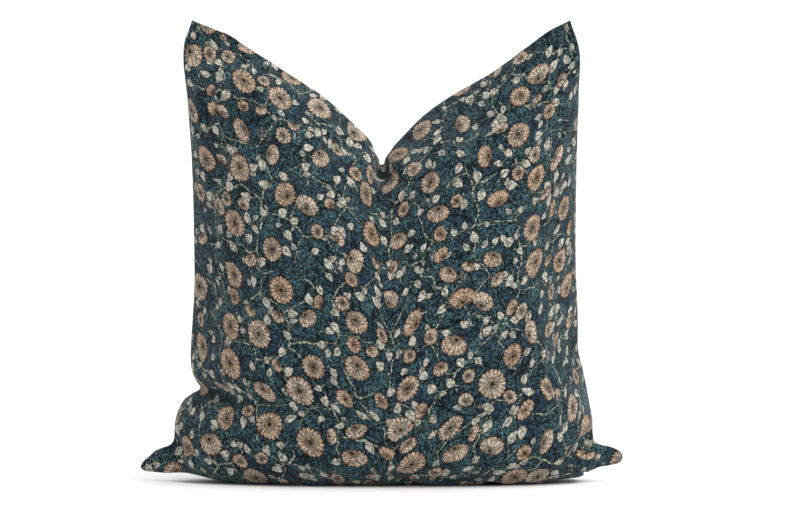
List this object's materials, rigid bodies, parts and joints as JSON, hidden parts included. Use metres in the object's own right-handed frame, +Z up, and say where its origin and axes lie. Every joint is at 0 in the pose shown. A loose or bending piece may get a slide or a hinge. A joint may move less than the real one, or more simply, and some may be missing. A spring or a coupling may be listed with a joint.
{
  "type": "throw pillow",
  "caption": "Square knife-edge throw pillow standing on its bottom edge, V pressed into the top, zipped linen cover over a stuffed insert.",
  "frame": {"origin": "on the floor, under the middle of the pillow", "axes": "+Z up, +X along the width, -Y out of the front face"},
  "size_m": [0.5022, 0.1604, 0.4789],
  "materials": {
    "linen_print": "coarse linen weave, floral block print on petrol blue",
    "thread": "spun polyester thread",
    "zip_tape": "woven polyester tape",
    "zip_nylon": "moulded nylon coil",
    "zip_metal": "lacquered zinc alloy",
    "ticking": "close cotton weave",
    "stuffing": "polyester fibre fill",
    "label_satin": "blank satin ribbon"
  },
  "bodies": {
    "pillow": {"cover_front_panel": "linen_print", "cover_back_panel": "linen_print", "cover_seam_thread": "thread", "cover_overlock_thread": "thread", "cover_care_label": "label_satin", "zip_tape_front": "zip_tape", "zip_tape_back": "zip_tape", "zip_coil_front": "zip_nylon", "zip_coil_back": "zip_nylon", "zip_stitching_front": "thread", "zip_stitching_back": "thread", "zip_top_stops": "zip_metal", "zip_bottom_stop": "zip_metal", "insert_front_panel": "ticking", "insert_back_panel": "ticking", "insert_seam_thread": "thread", "insert_label": "label_satin", "insert_filling": "stuffing"},
    "slider": {"zip_slider": "zip_metal"},
    "pull_tab": {"zip_pull_tab": "zip_metal"}
  },
  "joints": [
    {"name": "zip_travel", "type": "slide", "parent": "pillow", "child": "slider", "axis": [-1, 0, 0], "range_m": [0, 0.38]},
    {"name": "pull_tab_swing", "type": "hinge", "parent": "slider", "child": "pull_tab", "pos_m": [0.191, 0, 0.005], "axis": [0, -1, 0], "range_deg": [0, 180]}
  ]
}
